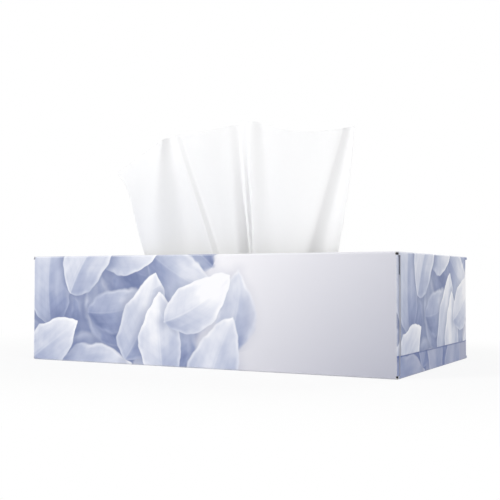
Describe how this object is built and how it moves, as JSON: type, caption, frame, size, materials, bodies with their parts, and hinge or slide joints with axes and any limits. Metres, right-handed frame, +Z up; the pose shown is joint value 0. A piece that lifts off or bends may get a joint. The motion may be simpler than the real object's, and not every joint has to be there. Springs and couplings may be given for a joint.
{
  "type": "tissue box",
  "caption": "Flat printed paperboard tissue box, opened and full, with one sheet gathered in the top slit and fanned out above it",
  "frame": {"origin": "middle of the carton's underside", "axes": "+X along the carton's length, towards the end panel that the picture shows; +Y towards the back panel; +Z up"},
  "size_m": [0.23, 0.128, 0.1439],
  "materials": {
    "printed_board": "satin varnish over a pale lilac print",
    "clear_film": "clear gloss film",
    "tissue": "soft matt, finely creped"
  },
  "bodies": {
    "root": {"carton": "printed_board", "film_window": "clear_film", "tissue_stack": "tissue", "next_sheet": "tissue", "raised_sheet": "tissue"}
  },
  "joints": []
}
